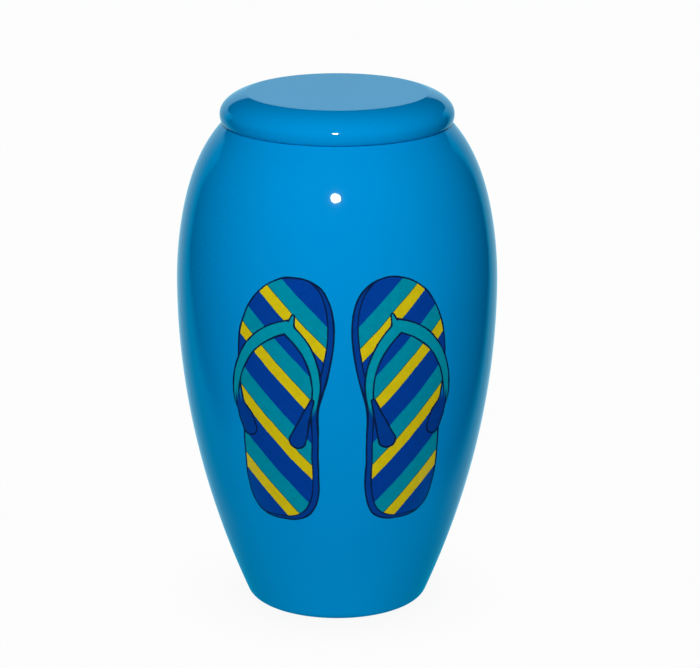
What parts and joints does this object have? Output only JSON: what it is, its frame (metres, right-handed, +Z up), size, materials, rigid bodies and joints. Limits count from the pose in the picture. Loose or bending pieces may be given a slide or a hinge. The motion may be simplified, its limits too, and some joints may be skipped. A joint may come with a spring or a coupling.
{
  "type": "funeral urn",
  "caption": "Lidded funeral urn: hollow turned body, full at the shoulder and narrow at the foot, under a lift-off lid that plugs its mouth, with striped sandals painted on the front.",
  "frame": {"origin": "centre of the foot, on the surface the urn stands on", "axes": "+Z up along the urn's axis; the painted front faces -Y"},
  "size_m": [0.1636, 0.1636, 0.2667],
  "materials": {
    "body_lacquer": "high-gloss sky-blue lacquer over moulded fibreglass, with a hand-painted design on the front",
    "lid_lacquer": "high-gloss sky-blue lacquer over moulded fibreglass"
  },
  "bodies": {
    "root": {"urn_body": "body_lacquer", "lid": "lid_lacquer"}
  },
  "joints": []
}
